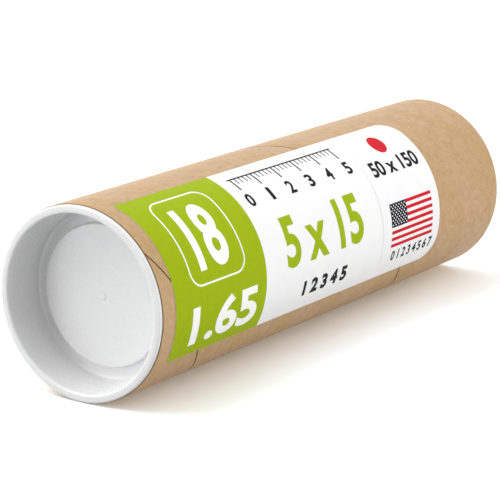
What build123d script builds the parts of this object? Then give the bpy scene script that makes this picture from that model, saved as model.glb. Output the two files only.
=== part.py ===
from build123d import *
import math
import os

# Paper mailing tube with two push-in end plugs and a wrapped label.
# It stands on its lower plug with the tube's axis on Z, and the middle line of the label faces -Y.
# The print reads from the upper end down, with the tops of its figures towards +X.

# Tube of spirally wound paper
inner_diameter = 50.8
wall = 1.65
tube_length = 177.8

# Butt seam that the outer strip of paper leaves where its edges meet
strip_width = 88.9
seam_gap = 0.3
seam_depth = 0.25
seam_below_upper_end = 5.5

# End plugs, moulded as thin cups: a flange, a straight land that grips the bore, and a tapered skirt
flange_setback = 0.3
flange_thickness = 1.2
flange_chamfer = 0.4
plug_depth = 11.7
plug_clearance = 0.05
land_length = 3.5
land_wall = 1.9
mouth_round = 1.4
mouth_facets = 2
skirt_wall = 0.7
floor_thickness = 1.1
floor_chamfer = 1.0
disc_inset = 3.85
disc_rise = 1.3
disc_step = 0.5
gate_radius = 1.1
gate_height = 0.25

# Paper label, wrapped part of the way round
label_thickness = 0.12
label_below_upper_end = 6.5
label_length = 136.0
label_width = 49.6
label_corner_radius = 7.0

# Print on the label, as thin fields of ink
ink_thickness = 0.03
panel_length = 41.7
flag_end_margin = 4.2
flag_length = 23.9
flag_height = 13.2
flag_drop = 9.15
flag_stripes = 13
canton_stripes = 7
canton_length = 9.1

# Sizes that follow
inner_radius = inner_diameter / 2
outer_radius = inner_radius + wall
tube_low = flange_thickness
upper_end = flange_thickness + tube_length + flange_thickness
label_radius = outer_radius + label_thickness
label_high = upper_end - label_below_upper_end
flag_near = label_length - flag_end_margin - flag_length
label_facing = -90.0
degrees_per_mm = math.degrees(1 / outer_radius)


def seam_lead():
    """Rise of the seam in one turn, for a strip wound edge to edge round the tube."""
    girth = 2 * math.pi * outer_radius
    return strip_width * girth / math.sqrt(girth**2 - strip_width**2)


def seam_groove():
    """Narrow right-handed helical gap in the outer strip, longer than the tube at both ends."""
    lead = seam_lead()
    height_at_label = upper_end - seam_below_upper_end
    turns_below = math.ceil(height_at_label / lead)
    start = height_at_label - turns_below * lead
    turns = math.ceil((upper_end - start) / lead)
    path = Helix(pitch=lead, height=turns * lead, radius=outer_radius)
    section = Plane(origin=path @ 0, z_dir=path % 0) * Rectangle(2 * seam_depth, seam_gap)
    groove = sweep(section, path=path, is_frenet=True)
    return Pos(0, 0, start) * Rot(0, 0, label_facing) * groove


def make_tube():
    """Wound paper tube, open at both ends, with its seam."""
    blank = extrude(Circle(outer_radius) - Circle(inner_radius), tube_length)
    return Pos(0, 0, tube_low) * blank - seam_groove()


def make_plug():
    """End plug with the underside of its flange at Z 0 and its cup below."""
    flange_radius = outer_radius - flange_setback
    land_radius = inner_radius - plug_clearance
    recess_radius = land_radius - land_wall
    skirt_low = recess_radius + skirt_wall
    disc_radius = recess_radius - disc_inset
    floor_high = floor_thickness - plug_depth
    disc_high = floor_high + disc_rise
    hollow_high = disc_rise - plug_depth
    hollow_radius = disc_radius + disc_step - floor_thickness
    recess = [
        (0, disc_high),
        (disc_radius, disc_high),
        (disc_radius + disc_step, floor_high),
        (recess_radius - floor_chamfer, floor_high),
        (recess_radius, floor_high + floor_chamfer),
    ]
    turns = [math.radians(90 * number / mouth_facets) for number in range(mouth_facets + 1)]
    mouth = [
        (
            recess_radius + mouth_round * (1 - math.cos(turn)),
            flange_thickness - mouth_round * (1 - math.sin(turn)),
        )
        for turn in turns
    ]
    flange = [
        (flange_radius - flange_chamfer, flange_thickness),
        (flange_radius, flange_thickness - flange_chamfer),
        (flange_radius, 0),
    ]
    skirt = [
        (land_radius, 0),
        (land_radius, -land_length),
        (skirt_low, -plug_depth),
    ]
    underside = [
        (hollow_radius, -plug_depth),
        (hollow_radius - disc_step, hollow_high),
        (0, hollow_high),
    ]
    outline = Polyline(*recess, *mouth, *flange, *skirt, *underside, close=True)
    cup = revolve(Plane.XZ * make_face(outline), axis=Axis.Z)
    gate = Pos(0, 0, disc_high) * extrude(Circle(gate_radius), gate_height, taper=30)
    return cup + gate


def curved_patch(near, far, middle, width, radius, thickness):
    """Piece of sheet on the tube's side, between two distances below the label's upper edge.

    The middle and width are measured round the tube from the label's middle line, towards +X.
    """
    high = label_high - near
    low = label_high - far
    section = Plane.XZ * Pos(radius + thickness / 2, (high + low) / 2) * Rectangle(thickness, high - low)
    patch = revolve(section, axis=Axis.Z, revolution_arc=width * degrees_per_mm)
    return Rot(0, 0, label_facing + (middle - width / 2) * degrees_per_mm) * patch


def corner_waste(side):
    """What a rounded lower corner takes off the label: a block less a round bar, both along X."""
    size = 2 * label_corner_radius
    block = Pos(0, side * size / 2, -size / 2) * Box(size, size, size)
    bar = Rot(0, 90, 0) * Cylinder(label_corner_radius, 2 * size)
    return block - bar


def make_label():
    """Label sheet: square at its upper end and rounded at its lower one."""
    sheet = curved_patch(0, label_length, 0, label_width, outer_radius, label_thickness)
    centre_height = label_high - label_length + label_corner_radius
    centre_angle = (label_width / 2 - label_corner_radius) * degrees_per_mm
    for side in (-1, 1):
        place = Rot(0, 0, label_facing + side * centre_angle) * Pos(outer_radius, 0, centre_height)
        sheet -= place * corner_waste(side)
    return sheet


def make_panel():
    """Coloured field that fills the upper end of the label from edge to edge."""
    return curved_patch(0, panel_length, 0, label_width, label_radius, ink_thickness)


def make_stripes():
    """Every other stripe of the flag, each beginning past the corner field where that is beside it."""
    stripe = flag_height / flag_stripes
    stripes = Part()
    for number in range(0, flag_stripes, 2):
        start = flag_near + (canton_length if number < canton_stripes else 0)
        middle = flag_height / 2 - flag_drop - (number + 0.5) * stripe
        stripes += curved_patch(start, flag_near + flag_length, middle, stripe, label_radius, ink_thickness)
    return stripes


def make_canton():
    """Dark corner field of the flag."""
    height = canton_stripes * flag_height / flag_stripes
    middle = flag_height / 2 - flag_drop - height / 2
    return curved_patch(flag_near, flag_near + canton_length, middle, height, label_radius, ink_thickness)


plug = make_plug()
nodes = {
    "tube": make_tube(),
    "top_cap": Pos(0, 0, upper_end - flange_thickness) * plug,
    "bottom_cap": Pos(0, 0, flange_thickness) * Rot(180, 0, 0) * plug,
    "label": make_label(),
    "label_panel_ink": make_panel(),
    "label_stripes_ink": make_stripes(),
    "label_canton_ink": make_canton(),
}

os.makedirs("parts", exist_ok=True)
for name, shape in nodes.items():
    export_step(shape, f"parts/{name}.step")
    print(name, round(shape.volume, 2))
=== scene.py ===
import math

import bmesh
import bpy
from mathutils import Matrix, Vector


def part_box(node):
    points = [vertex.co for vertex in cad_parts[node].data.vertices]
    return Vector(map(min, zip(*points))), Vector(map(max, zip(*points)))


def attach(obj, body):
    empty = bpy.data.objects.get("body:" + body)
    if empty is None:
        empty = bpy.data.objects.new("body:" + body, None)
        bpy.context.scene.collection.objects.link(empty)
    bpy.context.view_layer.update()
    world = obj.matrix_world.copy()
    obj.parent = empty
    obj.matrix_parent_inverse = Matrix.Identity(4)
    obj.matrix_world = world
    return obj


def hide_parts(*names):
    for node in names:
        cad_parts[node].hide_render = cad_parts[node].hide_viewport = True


# Paper mailing tube, standing on its lower plug with its axis on Z and its label facing -Y
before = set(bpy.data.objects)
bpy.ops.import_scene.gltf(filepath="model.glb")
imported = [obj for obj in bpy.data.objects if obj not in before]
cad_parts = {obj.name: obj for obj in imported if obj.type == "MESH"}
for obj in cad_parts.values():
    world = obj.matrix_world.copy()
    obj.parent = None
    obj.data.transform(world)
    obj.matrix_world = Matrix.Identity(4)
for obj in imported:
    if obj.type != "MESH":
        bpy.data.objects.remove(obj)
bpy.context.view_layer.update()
bpy.ops.object.select_all(action="DESELECT")

MM = 0.001

# Height of the tube with its plugs, read from the frame
upper_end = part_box("top_cap")[1].z

# Tube and label
outer_radius = 27.05 * MM
inner_radius = 25.4 * MM
ply = 0.41 * MM
seam_lead = 104.3 * MM
label_surface = 27.17 * MM
ink_thickness = 0.03 * MM
label_middle = math.radians(-90)

# End plug: rings of its form as turned, measured from the axis and from its outer face
flange_radius = 26.75 * MM
flange_thickness = 1.2 * MM
mouth_radius = 24.5 * MM
recess_radius = 23.45 * MM
recess_depth = 12.2 * MM
disc_foot_radius = 20.1 * MM
disc_radius = 19.6 * MM
disc_rise = 1.7 * MM
gate_foot_radius = 1.1 * MM
gate_radius = 0.95 * MM
gate_height = 0.18 * MM
land_radius = 25.35 * MM
land_length = 3.5 * MM
skirt_radius = 24.15 * MM
plug_depth = 11.7 * MM
hollow_radius = 19.0 * MM
hollow_top_radius = 18.5 * MM
hollow_rise = 1.3 * MM

# Roundings of the plug's edges
flange_round = 0.4 * MM
mouth_round = 0.6 * MM
floor_round = 0.8 * MM
disc_round = 0.2 * MM
skirt_round = 0.35 * MM
underside_round = 0.25 * MM

# Fineness of the modelling
plug_segments = 144
round_segments = 6
disc_segments = 48
dot_segments = 10
corner_segments = 8
glyph_steps = 6
bend_step = 0.8 * MM
crease_angle = math.radians(30)
ring_tolerance = 0.02 * MM
merge_distance = 0.01 * MM


# Small tools for modelling

def from_mm(*lengths):
    """Lengths in metres, from lengths in millimetres."""
    return tuple(length * MM for length in lengths)


def only(obj):
    """Selects one object and makes it active."""
    bpy.ops.object.select_all(action="DESELECT")
    obj.select_set(True)
    bpy.context.view_layer.objects.active = obj


def newest(name):
    """The object that the last operator added, with its name."""
    obj = bpy.context.object
    obj.name = name
    obj.data.name = name
    return obj


def settle(obj):
    """Puts an object's place, turn and size into its mesh."""
    only(obj)
    bpy.ops.object.transform_apply(location=True, rotation=True, scale=True)


def finish_modifier(obj, kind, **settings):
    """Adds a modifier with its settings and applies it."""
    only(obj)
    modifier = obj.modifiers.new(kind.lower(), kind)
    for key, value in settings.items():
        setattr(modifier, key, value)
    bpy.ops.object.modifier_apply(modifier=modifier.name)


def smooth(obj):
    """Smooth shading, with creases only where faces meet at more than the crease angle."""
    only(obj)
    bpy.ops.object.shade_smooth_by_angle(angle=crease_angle)


def select_faces(obj, test):
    """In edit mode, selects the faces that pass a test."""
    mesh = bmesh.from_edit_mesh(obj.data)
    bpy.ops.mesh.select_all(action="DESELECT")
    for face in mesh.faces:
        if test(face):
            face.select_set(True)
    bmesh.update_edit_mesh(obj.data)


def select_ring(obj, radius, height):
    """In edit mode, selects the ring of edges at a radius and a height."""
    mesh = bmesh.from_edit_mesh(obj.data)
    bpy.ops.mesh.select_all(action="DESELECT")
    for edge in mesh.edges:
        misses = [abs(math.hypot(vertex.co.x, vertex.co.y) - radius) for vertex in edge.verts]
        misses += [abs(vertex.co.z - height) for vertex in edge.verts]
        if max(misses) < ring_tolerance:
            edge.select_set(True)
    bmesh.update_edit_mesh(obj.data)


# Materials

def linear(code):
    """Linear colour of an sRGB hex code."""
    channels = [int(code[i : i + 2], 16) / 255 for i in (1, 3, 5)]
    return [c / 12.92 if c <= 0.04045 else ((c + 0.055) / 1.055) ** 2.4 for c in channels] + [1.0]


def add(tree, kind, inputs=None, **settings):
    """Adds a node with its settings and links.

    An input is a value, a hex colour, a socket to link from, or a node whose first output is linked.
    """
    node = tree.nodes.new("ShaderNode" + kind)
    for key, value in settings.items():
        setattr(node, key, value)
    for key, value in (inputs or {}).items():
        named = [socket for socket in node.inputs if socket.enabled and socket.name == key]
        socket = named[0] if named else node.inputs[key]
        if isinstance(value, bpy.types.Node):
            value = next(output for output in value.outputs if output.enabled)
        if isinstance(value, bpy.types.NodeSocket):
            tree.links.new(value, socket)
        else:
            socket.default_value = linear(value) if isinstance(value, str) else value
    return node


def new_material(name):
    """An empty material and its node tree."""
    material = bpy.data.materials.new(name)
    material.use_nodes = True
    material.node_tree.nodes.clear()
    return material, material.node_tree


def use(obj, material):
    """Gives an object one material."""
    obj.data.materials.clear()
    obj.data.materials.append(material)


def make_kraft():
    """Kraft paperboard, wound in strips and glued: warm brown and fibrous, with a dull shine.

    The fibres and soft patches follow the winding. Cut ends show the plies, and the liner is greyer.
    """
    material, tree = new_material("kraft_paperboard_wound")
    coordinates = add(tree, "TexCoord")
    place = coordinates.outputs["Object"]
    height = add(tree, "SeparateXYZ", {0: place}).outputs["Z"]
    turn = add(tree, "Math", {0: height, 1: -2 * math.pi / seam_lead}, operation="MULTIPLY")
    unwound = add(tree, "VectorRotate", {"Vector": place, "Angle": turn}, rotation_type="Z_AXIS")
    along = add(tree, "VectorMath", {0: unwound, 1: (1.0, 1.0, 0.3)}, operation="MULTIPLY")
    across = add(tree, "VectorMath", {0: place, 1: (1.0, 1.0, 0.0)}, operation="MULTIPLY")
    radius = add(tree, "VectorMath", {0: across}, operation="LENGTH").outputs["Value"]

    # Paper face: 12 mm pinkish patches, 2.6 mm blotches, and fibres and flecks under 1 mm
    patches = add(tree, "TexNoise", {"Vector": along, "Scale": 1 / (12 * MM), "Detail": 3.0})
    blotches = add(tree, "TexNoise", {
        "Vector": place, "Scale": 1 / (2.6 * MM), "Detail": 8.0, "Distortion": 0.3})
    fibres = add(tree, "TexNoise", {"Vector": along, "Scale": 1 / (0.8 * MM), "Detail": 5.0})
    dark_flecks = add(tree, "TexNoise", {"Vector": along, "Scale": 1 / (0.5 * MM), "Detail": 2.0})
    pale_flecks = add(tree, "TexNoise", {
        "Vector": place, "Scale": 1 / (0.9 * MM), "Detail": 4.0, "Distortion": 0.5})
    colour = "#B08B53"
    for pattern, low, high, amount, tint in (
        (patches, 0.4, 0.62, 0.9, "#B48F68"),
        (blotches, 0.46, 0.66, 0.45, "#997646"),
        (fibres, 0.35, 0.65, 0.16, "#906E42"),
        (dark_flecks, 0.62, 0.74, 0.45, "#7E5C3A"),
        (pale_flecks, 0.56, 0.72, 0.22, "#D8C09E"),
    ):
        share = add(tree, "MapRange", {
            "Value": pattern, "From Min": low, "From Max": high, "To Max": amount})
        colour = add(tree, "Mix", {"Factor": share, "A": colour, "B": tint}, data_type="RGBA")

    # Cut ends: rings of the plies, darker where the glue is
    waver = add(tree, "TexNoise", {"Vector": place, "Scale": 1 / (2 * MM)})
    plies = add(tree, "Math", {0: radius, 1: 2 * math.pi / ply, 2: waver}, operation="MULTIPLY_ADD")
    rings = add(tree, "Math", {0: plies}, operation="SINE")
    glue = add(tree, "MapRange", {"Value": rings, "From Min": 0.2, "From Max": 0.9, "To Max": 0.7})
    cut_edge = add(tree, "Mix", {"Factor": glue, "A": "#A08058", "B": "#6E5236"}, data_type="RGBA")
    facing = add(tree, "SeparateXYZ", {0: coordinates.outputs["Normal"]}).outputs["Z"]
    upright = add(tree, "Math", {0: facing}, operation="ABSOLUTE")
    is_end = add(tree, "MapRange", {"Value": upright, "From Min": 0.7, "From Max": 0.9})
    colour = add(tree, "Mix", {"Factor": is_end, "A": colour, "B": cut_edge}, data_type="RGBA")

    # Seam: the ply under the gap lies in its own shade, which begins just below the paper's face
    seam_low, seam_high = outer_radius - 0.07 * MM, outer_radius - 0.04 * MM
    sunk = add(tree, "MapRange", {
        "Value": radius, "From Min": seam_low, "From Max": seam_high, "To Min": 1.0, "To Max": 0.0})
    is_seam = add(tree, "Math", {0: sunk, 1: is_end}, operation="SUBTRACT", use_clamp=True)
    colour = add(tree, "Mix", {"Factor": is_seam, "A": colour, "B": "#3A1806"}, data_type="RGBA")

    # Liner: the skin of the bore
    skin_low, skin_high = inner_radius + 0.03 * MM, inner_radius + 0.06 * MM
    liner = add(tree, "Mix", {"Factor": fibres, "A": "#8C7A62", "B": "#A08D73"}, data_type="RGBA")
    is_bore = add(tree, "MapRange", {
        "Value": radius, "From Min": skin_low, "From Max": skin_high, "To Min": 1.0, "To Max": 0.0})
    colour = add(tree, "Mix", {"Factor": is_bore, "A": colour, "B": liner}, data_type="RGBA")

    # Surface: the fibres and a finer nap of 0.35 mm
    nap = add(tree, "TexNoise", {"Vector": place, "Scale": 1 / (0.35 * MM)})
    relief = add(tree, "Math", {0: fibres, 1: nap})
    normal = add(tree, "Bump", {"Height": relief, "Distance": 0.035 * MM})
    roughness = add(tree, "MapRange", {
        "Value": fibres, "From Min": 0.3, "From Max": 0.7, "To Min": 0.45, "To Max": 0.58})
    shader = add(tree, "BsdfPrincipled", {
        "Base Color": colour, "Roughness": roughness, "Normal": normal, "Specular IOR Level": 0.8})
    add(tree, "OutputMaterial", {"Surface": shader})
    return material


def make_print(name, code, darker, roughness, specular, patch):
    """Coated label paper or the ink on it: even, with faint patches and the paper's 0.25 mm fibre."""
    material, tree = new_material(name)
    place = add(tree, "TexCoord").outputs["Object"]
    cloud = add(tree, "TexNoise", {"Vector": place, "Scale": 1 / patch, "Detail": 5.0})
    share = add(tree, "MapRange", {"Value": cloud, "From Min": 0.3, "From Max": 0.75})
    colour = add(tree, "Mix", {"Factor": share, "A": code, "B": darker}, data_type="RGBA")
    fibre = add(tree, "TexNoise", {"Vector": place, "Scale": 1 / (0.25 * MM), "Detail": 3.0})
    gloss = add(tree, "MapRange", {
        "Value": fibre, "From Min": 0.3, "From Max": 0.7,
        "To Min": roughness - 0.05, "To Max": roughness + 0.05})
    normal = add(tree, "Bump", {"Height": fibre, "Distance": 0.004 * MM})
    shader = add(tree, "BsdfPrincipled", {
        "Base Color": colour, "Roughness": gloss, "Normal": normal, "Specular IOR Level": specular})
    add(tree, "OutputMaterial", {"Surface": shader})
    return material


def make_ink(name, code, darker):
    """Ink that soaked a little into the coating: it hardly shines, and its tone has 1.6 mm mottle."""
    return make_print(name, code, darker, roughness=0.5, specular=0.06, patch=1.6 * MM)


def make_plastic():
    """Injection-moulded polyethylene: white, softly glossy, with the mould's faint 5 mm waviness."""
    material, tree = new_material("polyethylene_moulded")
    place = add(tree, "TexCoord").outputs["Object"]
    cloud = add(tree, "TexNoise", {"Vector": place, "Scale": 1 / (8 * MM), "Detail": 3.0})
    fine = add(tree, "TexNoise", {"Vector": place, "Scale": 1 / (0.4 * MM), "Detail": 3.0})
    wave = add(tree, "TexNoise", {"Vector": place, "Scale": 1 / (5 * MM)})
    height = add(tree, "Math", {0: wave, 1: 12.0, 2: fine}, operation="MULTIPLY_ADD")
    normal = add(tree, "Bump", {"Height": height, "Distance": 0.004 * MM})
    colour = add(tree, "Mix", {"Factor": cloud, "A": "#E3E3E3", "B": "#DFDFE0"}, data_type="RGBA")
    gloss = add(tree, "MapRange", {
        "Value": fine, "From Min": 0.3, "From Max": 0.7, "To Min": 0.22, "To Max": 0.3})
    shader = add(tree, "BsdfPrincipled", {"Base Color": colour, "Roughness": gloss, "Normal": normal})
    add(tree, "OutputMaterial", {"Surface": shader})
    return material


kraft = make_kraft()
plastic = make_plastic()
paper = make_print(
    "label_paper_coated", "#EAEAE9", "#E6E6E7", roughness=0.46, specular=0.5, patch=7 * MM)
green = make_ink("ink_green", "#99AF06", "#93A904")
red = make_ink("ink_red", "#CB1426", "#C01022")
navy = make_ink("ink_navy", "#14172C", "#101326")
black = make_ink("ink_black", "#171719", "#121213")
white = make_ink("ink_white", "#F6F6F4", "#F1F1EF")
grey = make_ink("ink_grey", "#D2D2D2", "#CCCCCC")


# End plugs

def grow(ring_from, ring_to, rise):
    """Extrudes the selected face along the axis and brings its rim to another radius."""
    bpy.ops.mesh.extrude_region_move(TRANSFORM_OT_translate={"value": (0, 0, rise)})
    scale = ring_to / ring_from
    bpy.ops.transform.resize(value=(scale, scale, 1), center_override=(0, 0, 0))


def shrink(ring_from, ring_to):
    """Insets the selected face, from one radius to a smaller one."""
    bpy.ops.mesh.inset(thickness=(ring_from - ring_to) * math.cos(math.pi / plug_segments))


def make_plug(name):
    """End plug in place at the upper end: recessed cup with a raised floor disc and a gate mark."""
    bpy.ops.mesh.primitive_cylinder_add(
        vertices=plug_segments, radius=flange_radius, depth=flange_thickness,
        location=(0, 0, upper_end - flange_thickness / 2))
    plug = newest(name)
    settle(plug)
    bpy.ops.object.mode_set(mode="EDIT")
    bpy.context.tool_settings.mesh_select_mode = (False, False, True)

    select_faces(plug, lambda face: face.normal.z > 0.9)
    shrink(flange_radius, mouth_radius)
    grow(mouth_radius, recess_radius, -recess_depth)
    shrink(recess_radius, disc_foot_radius)
    grow(disc_foot_radius, disc_radius, disc_rise)
    shrink(disc_radius, gate_foot_radius)
    grow(gate_foot_radius, gate_radius, gate_height)

    select_faces(plug, lambda face: face.normal.z < -0.9)
    shrink(flange_radius, land_radius)
    grow(land_radius, land_radius, -land_length)
    grow(land_radius, skirt_radius, land_length - plug_depth)
    shrink(skirt_radius, hollow_radius)
    grow(hollow_radius, hollow_top_radius, hollow_rise)

    bpy.context.tool_settings.mesh_select_mode = (False, True, False)
    floor_height = upper_end - recess_depth
    for radius, height, rounding in (
        (flange_radius, upper_end, flange_round),
        (flange_radius, upper_end - flange_thickness, underside_round),
        (mouth_radius, upper_end, mouth_round),
        (recess_radius, floor_height, floor_round),
        (disc_radius, floor_height + disc_rise, disc_round),
        (disc_foot_radius, floor_height, disc_round / 2),
        (skirt_radius, upper_end - flange_thickness - plug_depth, skirt_round),
    ):
        select_ring(plug, radius, height)
        bpy.ops.mesh.bevel(
            offset=rounding, segments=round_segments, profile=0.5, affect="EDGES",
            clamp_overlap=True)
    bpy.ops.object.mode_set(mode="OBJECT")
    smooth(plug)
    return plug


# The lower plug is the upper one turned over
top_plug = make_plug("end_plug_upper")
bottom_plug = top_plug.copy()
bottom_plug.data = top_plug.data.copy()
bottom_plug.name = bottom_plug.data.name = "end_plug_lower"
bpy.context.collection.objects.link(bottom_plug)
bottom_plug.data.transform(
    Matrix.Translation((0, 0, upper_end)) @ Matrix.Rotation(math.pi, 4, "X"))
for plug, node, body in (
    (top_plug, "top_cap", "top_plug"),
    (bottom_plug, "bottom_cap", "bottom_plug"),
):
    use(plug, plastic)
    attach(plug, body)
    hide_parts(node)


# Print on the label, drawn flat and then bent on. Flat, X runs down the tube from its upper end,
# Y round it from the label's middle line towards +X, and Z out from the surface.

# Places, each a near end, a far end, a low side and a high side
frame_place = from_mm(14.4, 39.6, -5.9, 20.9)
code_place = from_mm(19.6, 34.0, -2.3, 16.7)
wall_place = from_mm(14.0, 44.4, -21.8, -10.6)
count_place = from_mm(67.7, 90.6, -20.2, -15.5)
length_place = from_mm(113.0, 139.0, 6.1, 11.3)
digits_place = from_mm(115.7, 139.5, -20.4, -17.0)
size_place = from_mm(58.8, 99.0, -10.2, 4.5)

# Frame, spot, and the thin line that divides the label
frame_corner = 4.6 * MM
frame_line = 0.5 * MM
spot_centre = from_mm(126.0, 16.6)
spot_radius = 3.5 * MM
divider_centre = from_mm(109.5, -1.5)
divider_width, divider_length = from_mm(0.26, 36.5)

# Measuring scale: its ticks' reach and width, and how far in its numerals lie and half their width
ruler_start = 53.7 * MM
ruler_length = 50 * MM
ruler_edge = 20.9 * MM
ruler_margin = 1.2 * MM
ruler_line = 0.5 * MM
long_tick = from_mm(5.0, 0.6)
short_tick = from_mm(2.6, 0.4)
numeral_foot, numeral_head = from_mm(11.0, 6.6)
numeral_half, narrow_numeral_half = from_mm(1.5, 0.75)

# Dark corner field of the flag, and its dots
canton_near = 114.4 * MM
canton_length = 9.1 * MM
canton_high = -2.55 * MM
canton_height = 7.11 * MM
dot_radius = 0.24 * MM

# What is added to the outlines of numerals, as a part of the font's size
plain_weight = 0.03
heavy_weight = 0.05

# Surface that the print on the coloured fields lies on
panel_surface = label_surface + ink_thickness


def clean_flat(piece):
    """In edit mode, merges points that nearly touch and takes out slivers.

    A sliver is what is left where the outline of a numeral touches itself.
    """
    bpy.ops.mesh.select_all(action="SELECT")
    bpy.ops.mesh.remove_doubles(threshold=merge_distance)
    bpy.ops.mesh.dissolve_degenerate(threshold=merge_distance)
    mesh = bmesh.from_edit_mesh(piece.data)
    crowded = [edge.link_faces for edge in mesh.edges if len(edge.link_faces) > 2]
    slivers = {min(faces, key=lambda face: face.calc_area()) for faces in crowded}
    bmesh.ops.delete(mesh, geom=list(slivers), context="FACES")
    bmesh.update_edit_mesh(piece.data)


def wrap(piece, surface):
    """Bends a flat piece of print round the tube, on a surface of a given radius."""
    only(piece)
    bpy.ops.object.mode_set(mode="EDIT")
    clean_flat(piece)
    sides = [vertex.co.y for vertex in bmesh.from_edit_mesh(piece.data).verts]
    line = math.ceil(min(sides) / bend_step) * bend_step
    while line < max(sides):
        bpy.ops.mesh.select_all(action="SELECT")
        bpy.ops.mesh.bisect(plane_co=(0, line, 0), plane_no=(0, 1, 0))
        line += bend_step
    clean_flat(piece)
    bpy.ops.object.mode_set(mode="OBJECT")
    finish_modifier(piece, "SOLIDIFY", thickness=ink_thickness, offset=1.0)
    for vertex in piece.data.vertices:
        down, round_tube, out = vertex.co
        angle = label_middle + round_tube / outer_radius
        radius = surface + out
        vertex.co = (radius * math.cos(angle), radius * math.sin(angle), upper_end - down)
    smooth(piece)


def numerals(name, body, place, weight=plain_weight):
    """Flat numerals that fill a place."""
    near, far, low, high = place
    bpy.ops.object.text_add(location=(0, 0, 0))
    text = newest(name)
    text.data.body = body
    text.data.offset = weight
    text.data.resolution_u = glyph_steps
    only(text)
    bpy.ops.object.convert(target="MESH")
    piece = bpy.context.object
    xs = [vertex.co.x for vertex in piece.data.vertices]
    ys = [vertex.co.y for vertex in piece.data.vertices]
    scale_x = (far - near) / (max(xs) - min(xs))
    scale_y = (high - low) / (max(ys) - min(ys))
    piece.data.transform(
        Matrix.Translation((near, low, 0))
        @ Matrix.Diagonal((scale_x, scale_y, 1, 1))
        @ Matrix.Translation((-min(xs), -min(ys), 0)))
    return piece


def print_piece(piece, material, surface):
    """Finishes a flat piece of print: bends it on, gives it its ink and lets it ride with the tube."""
    wrap(piece, surface)
    use(piece, material)
    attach(piece, "tube_body")


def bars(name, places):
    """Flat bars in one mesh, each filling a place."""
    for number, (near, far, low, high) in enumerate(places):
        middle = ((near + far) / 2, (low + high) / 2, 0)
        bpy.ops.mesh.primitive_plane_add(size=1.0, location=middle)
        if number == 0:
            piece = newest(name)
            settle(piece)
            bpy.ops.object.mode_set(mode="EDIT")
            bpy.ops.mesh.select_all(action="SELECT")
        bpy.ops.transform.resize(value=(far - near, high - low, 1), center_override=middle)
    bpy.ops.object.mode_set(mode="OBJECT")
    return piece


def rounded_frame(name, place, corner, line):
    """Flat outline of a place, with rounded corners."""
    piece = bars(name, [place])
    bpy.ops.object.mode_set(mode="EDIT")
    bpy.ops.mesh.select_all(action="SELECT")
    bpy.ops.mesh.bevel(offset=corner, segments=corner_segments, affect="VERTICES")
    bpy.ops.mesh.select_all(action="SELECT")
    bpy.ops.mesh.inset(thickness=line)
    bpy.ops.mesh.delete(type="FACE")
    bpy.ops.object.mode_set(mode="OBJECT")
    return piece


def discs(name, centres, radius, segments):
    """Flat discs in one mesh."""
    for number, (down, round_tube) in enumerate(centres):
        bpy.ops.mesh.primitive_circle_add(
            vertices=segments, radius=radius, fill_type="NGON", location=(down, round_tube, 0))
        if number == 0:
            piece = newest(name)
            settle(piece)
            bpy.ops.object.mode_set(mode="EDIT")
    bpy.ops.object.mode_set(mode="OBJECT")
    return piece


def join(pieces):
    """Joins flat pieces into the first of them."""
    only(pieces[0])
    for piece in pieces[1:]:
        piece.select_set(True)
    bpy.ops.object.join()
    return pieces[0]


def ruler(name, start, length, edge):
    """Measuring scale down the label: a line, a tick each 2 mm and a numeral each centimetre."""
    places = [(start - ruler_margin, start + length + ruler_margin, edge - ruler_line, edge)]
    for number in range(0, round(length / MM) + 1, 2):
        middle = start + number * MM
        reach, width = long_tick if number % 10 == 0 else short_tick
        places.append((middle - width / 2, middle + width / 2, edge - reach, edge - ruler_line))
    pieces = [bars(name, places)]
    for number in range(round(length / MM) // 10 + 1):
        middle = start + number * 10 * MM
        half = narrow_numeral_half if number == 1 else numeral_half
        place = (middle - half, middle + half, edge - numeral_foot, edge - numeral_head)
        pieces.append(numerals(name + "_numeral", str(number), place))
    return join(pieces)


def flag_dots(name):
    """White dots on the flag's corner field, in staggered rows of six and five."""
    row, column = canton_height / 10, canton_length / 12
    centres = []
    for number in range(1, 10):
        for step in range(1 if number % 2 else 2, 12, 2):
            centres.append((canton_near + step * column, canton_high - number * row))
    return discs(name, centres, dot_radius, dot_segments)


def tapering_line(name, centre, width, length):
    """Flat line round the tube that runs out to a point at both ends: a disc, drawn long and thin."""
    piece = discs(name, [(0, 0)], 0.5, disc_segments)
    piece.data.transform(
        Matrix.Translation((*centre, 0)) @ Matrix.Diagonal((width, length, 1, 1)))
    return piece


for piece in (
    rounded_frame("print_frame", frame_place, frame_corner, frame_line),
    numerals("print_code", "18", code_place),
    numerals("print_wall", "1.65", wall_place),
    flag_dots("print_flag_dots"),
):
    print_piece(piece, white, panel_surface)
for piece in (
    ruler("print_ruler", ruler_start, ruler_length, ruler_edge),
    numerals("print_count", "1 2 3 4 5", count_place, heavy_weight),
    numerals("print_length", "50 x 150", length_place),
    numerals("print_digits", "0 1 2 3 4 5 6 7", digits_place),
):
    print_piece(piece, black, label_surface)
size_print = numerals("print_size", "5 x 15", size_place)
print_piece(size_print, green, label_surface)
spot = discs("print_spot", [spot_centre], spot_radius, disc_segments)
print_piece(spot, red, label_surface)
divider = tapering_line("print_divider", divider_centre, divider_width, divider_length)
print_piece(divider, grey, label_surface)


# CAD pieces keep their form and get their finish
for node, material in (
    ("tube", kraft),
    ("label", paper),
    ("label_panel_ink", green),
    ("label_stripes_ink", red),
    ("label_canton_ink", navy),
):
    use(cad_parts[node], material)


# Studio: a floor, a table on the side where the photographed tube lies, and a grey card behind it

# Brightness of the cards to the camera, past plain white so that they burn out, and their tint
card_seen = 1.35
card_tint = (0.96 * card_seen, card_seen, 1.01 * card_seen, 1.0)

floor_size = 3.0
floor_bounce = 0.9
floor_glow = 0.6
table_size = 2.0
table_facing = math.radians(-23)
shade_gap = 20 * MM
shade_bounce = 0.3
world_light = 0.52


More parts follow.
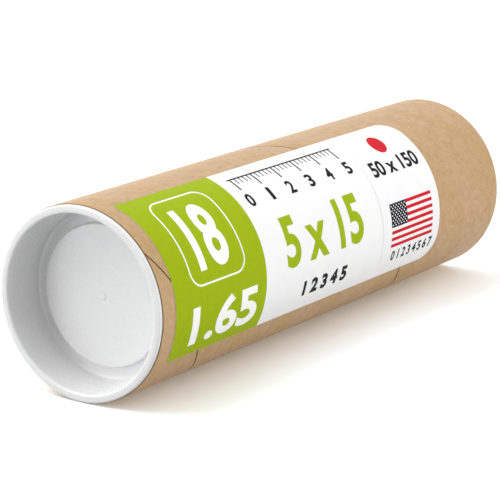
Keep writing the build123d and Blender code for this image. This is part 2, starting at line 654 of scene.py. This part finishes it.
def make_floor_card():
    """White card, bright enough to burn out to plain white, part of it by its own even light.

    From behind it is clear, so that the part can be seen from below.
    """
    material, tree = new_material("floor_card")
    lighting = add(tree, "LightPath").outputs["Is Diffuse Ray"]
    bounce = (floor_bounce, floor_bounce, floor_bounce, 1.0)
    shade = add(tree, "Mix", {"Factor": lighting, "A": card_tint, "B": bounce}, data_type="RGBA")
    lit = add(tree, "BsdfDiffuse", {"Color": shade})
    glow = add(tree, "Emission", {"Strength": card_seen})
    front = add(tree, "MixShader", {0: floor_glow, 1: lit, 2: glow})
    behind = add(tree, "NewGeometry").outputs["Backfacing"]
    clear = add(tree, "BsdfTransparent")
    sided = add(tree, "MixShader", {0: behind, 1: front, 2: clear})
    add(tree, "OutputMaterial", {"Surface": sided})
    return material


def make_table_card():
    """White card that is seen and mirrored from the front, but neither shades nor lights the tube."""
    material, tree = new_material("table_card")
    path = add(tree, "LightPath").outputs
    behind = add(tree, "NewGeometry").outputs["Backfacing"]
    mirrored = add(tree, "Math", {0: path["Is Glossy Ray"], 1: path["Is Transmission Ray"]})
    looked_at = add(tree, "Math", {0: path["Is Camera Ray"], 1: mirrored})
    seen = add(tree, "Math", {0: looked_at, 1: behind}, operation="SUBTRACT", use_clamp=True)
    lit = add(tree, "BsdfDiffuse", {"Color": card_tint})
    clear = add(tree, "BsdfTransparent")
    shown = add(tree, "MixShader", {0: seen, 1: clear, 2: lit})
    add(tree, "OutputMaterial", {"Surface": shown})
    return material


def make_shade_card():
    """Grey card that isn't seen or mirrored.

    It shades the tube's lower side as the photographed table does.
    """
    material, tree = new_material("shade_card")
    path = add(tree, "LightPath").outputs
    lighting = add(tree, "Math", {
        0: path["Is Diffuse Ray"], 1: path["Is Shadow Ray"]}, use_clamp=True)
    clear = add(tree, "BsdfTransparent")
    dull = add(tree, "BsdfDiffuse", {"Color": (shade_bounce, shade_bounce, shade_bounce, 1.0)})
    shown = add(tree, "MixShader", {0: lighting, 1: clear, 2: dull})
    add(tree, "OutputMaterial", {"Surface": shown})
    return material


def make_floor():
    """Floor that the tube stands on."""
    bpy.ops.mesh.primitive_plane_add(size=floor_size, location=(0, 0, 0))
    floor = newest("floor")
    use(floor, make_floor_card())


def make_upright_card(name, distance, material):
    """Card that stands at a distance from the axis, on the side that the photographed tube lies on."""
    out = Vector((math.cos(table_facing), math.sin(table_facing), 0))
    bpy.ops.mesh.primitive_plane_add(
        size=table_size, location=-out * distance + Vector((0, 0, table_size / 2)))
    card = newest(name)
    card.rotation_euler = out.to_track_quat("Z", "Y").to_euler()
    settle(card)
    use(card, material)


def make_world():
    """White surroundings that light the tube at about half the strength they are seen at."""
    world = bpy.data.worlds.new("studio")
    bpy.context.scene.world = world
    world.use_nodes = True
    tree = world.node_tree
    tree.nodes.clear()
    lighting = add(tree, "LightPath").outputs["Is Diffuse Ray"]
    strength = add(tree, "MapRange", {"Value": lighting, "To Min": 1.0, "To Max": world_light})
    background = add(tree, "Background", {"Color": "#FFFFFF", "Strength": strength})
    add(tree, "OutputWorld", {"Surface": background})


make_floor()
make_upright_card("table", outer_radius, make_table_card())
make_upright_card("shade", outer_radius + shade_gap, make_shade_card())
make_world()


# Lamps, round and soft, that shine on the tube's middle

# Directions of the photographed picture, where the tube lies
picture_right = Vector((-0.322, -0.758, -0.567))
picture_up = Vector((0.947, -0.249, -0.205))
to_camera = Vector((0.015, -0.603, 0.798))

centre = Vector((0, 0, upper_end / 2))
lamp_distance = 0.9


def lamp_place(direction):
    """Place of a lamp that stands in a direction from the tube's middle."""
    return centre + direction.normalized() * lamp_distance


def make_lamp(name, place, size, power):
    """Lamp at a place, with its size in metres and its power in watts."""
    light = bpy.data.lights.new(name, "AREA")
    light.shape = "DISK"
    light.size = size
    light.energy = power
    lamp = bpy.data.objects.new(name, light)
    bpy.context.collection.objects.link(lamp)
    lamp.location = place
    lamp.rotation_euler = (centre - place).to_track_quat("-Z", "Y").to_euler()


left_side = lamp_place(-picture_right + 0.35 * picture_up + 0.1 * to_camera)
low_right = Vector((-0.278, -0.856, 0.13))
back = lamp_place(-0.6 * picture_right + 0.8 * picture_up + 0.25 * to_camera)
over_plug = lamp_place(Vector((0.21, 0.49, 1.0)))
for name, place, size, power in (
    ("softbox_left", left_side, 0.7, 2.6),
    ("softbox_right", low_right, 0.24, 3.3),
    ("softbox_back", back, 0.7, 4.4),
    ("softbox_near", over_plug, 0.35, 2.5),
):
    make_lamp(name, place, size, power)


# Camera at the photograph's viewing angle, rolled because the part stands and the tube there lies

camera_place = Vector((7.995, -398.284, 628.895)) * MM
camera_look = Vector((-0.01479, 0.60270, -0.79783))
camera_up = Vector((0.94657, -0.24864, -0.20538))
camera_lens = 163.95
camera_sensor = 36.0
camera_nearest = 0.01


def make_camera():
    """The scene's camera, with its turn built from the directions it looks and holds up."""
    right = camera_look.cross(camera_up).normalized()
    up = right.cross(camera_look).normalized()
    data = bpy.data.cameras.new("camera")
    data.sensor_width = camera_sensor
    data.lens = camera_lens
    data.clip_start = camera_nearest
    camera = bpy.data.objects.new("camera", data)
    bpy.context.collection.objects.link(camera)
    turn = Matrix((right, up, -camera_look)).transposed()
    camera.matrix_world = Matrix.Translation(camera_place) @ turn.to_4x4()
    bpy.context.scene.camera = camera


make_camera()
bpy.context.scene.view_settings.view_transform = "Standard"
